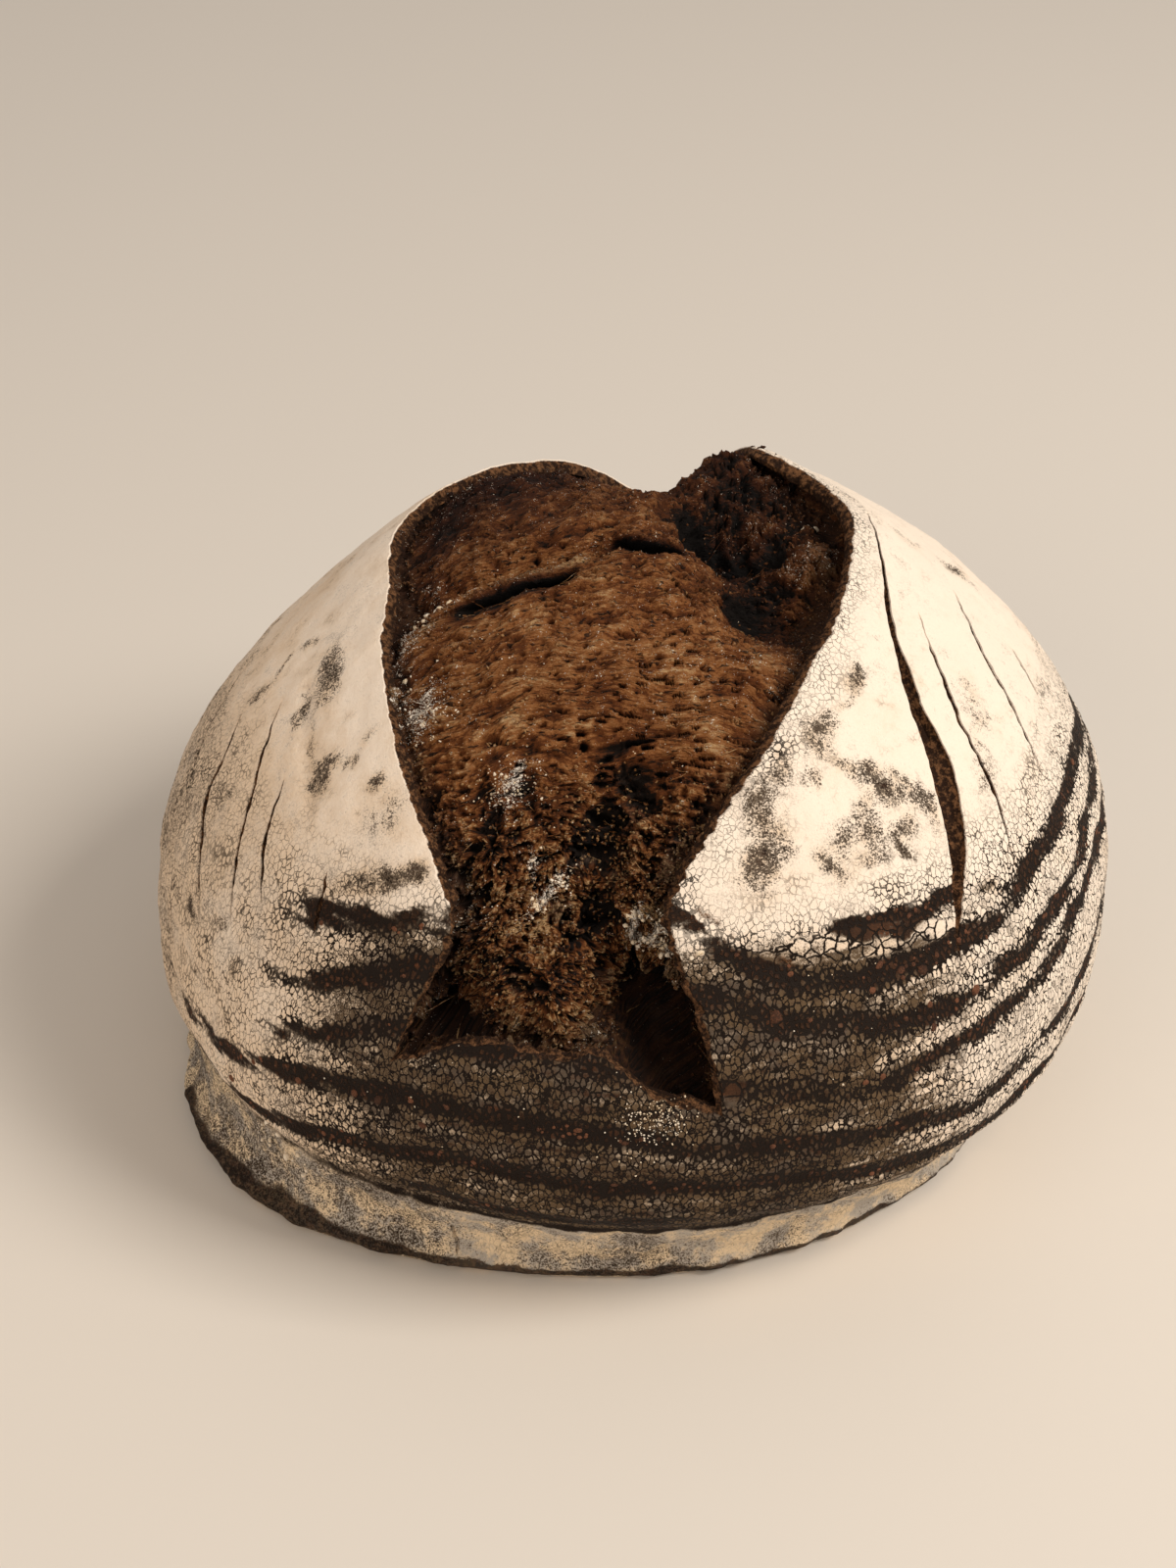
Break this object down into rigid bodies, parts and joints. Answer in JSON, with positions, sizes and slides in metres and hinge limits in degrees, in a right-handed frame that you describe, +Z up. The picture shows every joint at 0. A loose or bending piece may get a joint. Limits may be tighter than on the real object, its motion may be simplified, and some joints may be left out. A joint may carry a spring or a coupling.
{
  "type": "rye bread loaf",
  "caption": "Round hearth loaf with a floured, ring-striped crust that burst wide open along its main cut, standing on a flat base.",
  "frame": {"origin": "middle of the base, on the surface that the loaf rests on", "axes": "+Z up, -Y towards the front of the loaf, where the burst comes down the crust, +X to its right"},
  "size_m": [0.2206, 0.2166, 0.1344],
  "materials": {
    "crust": "baked dark rye crust under cream flour, finely cracked, with dark basket rings",
    "crumb": "torn dark brown crumb, stringy and porous, matte with a faint moist sheen",
    "flour": "loose clumps of cream rye flour"
  },
  "bodies": {
    "root": {"loaf": "crust"}
  },
  "joints": []
}
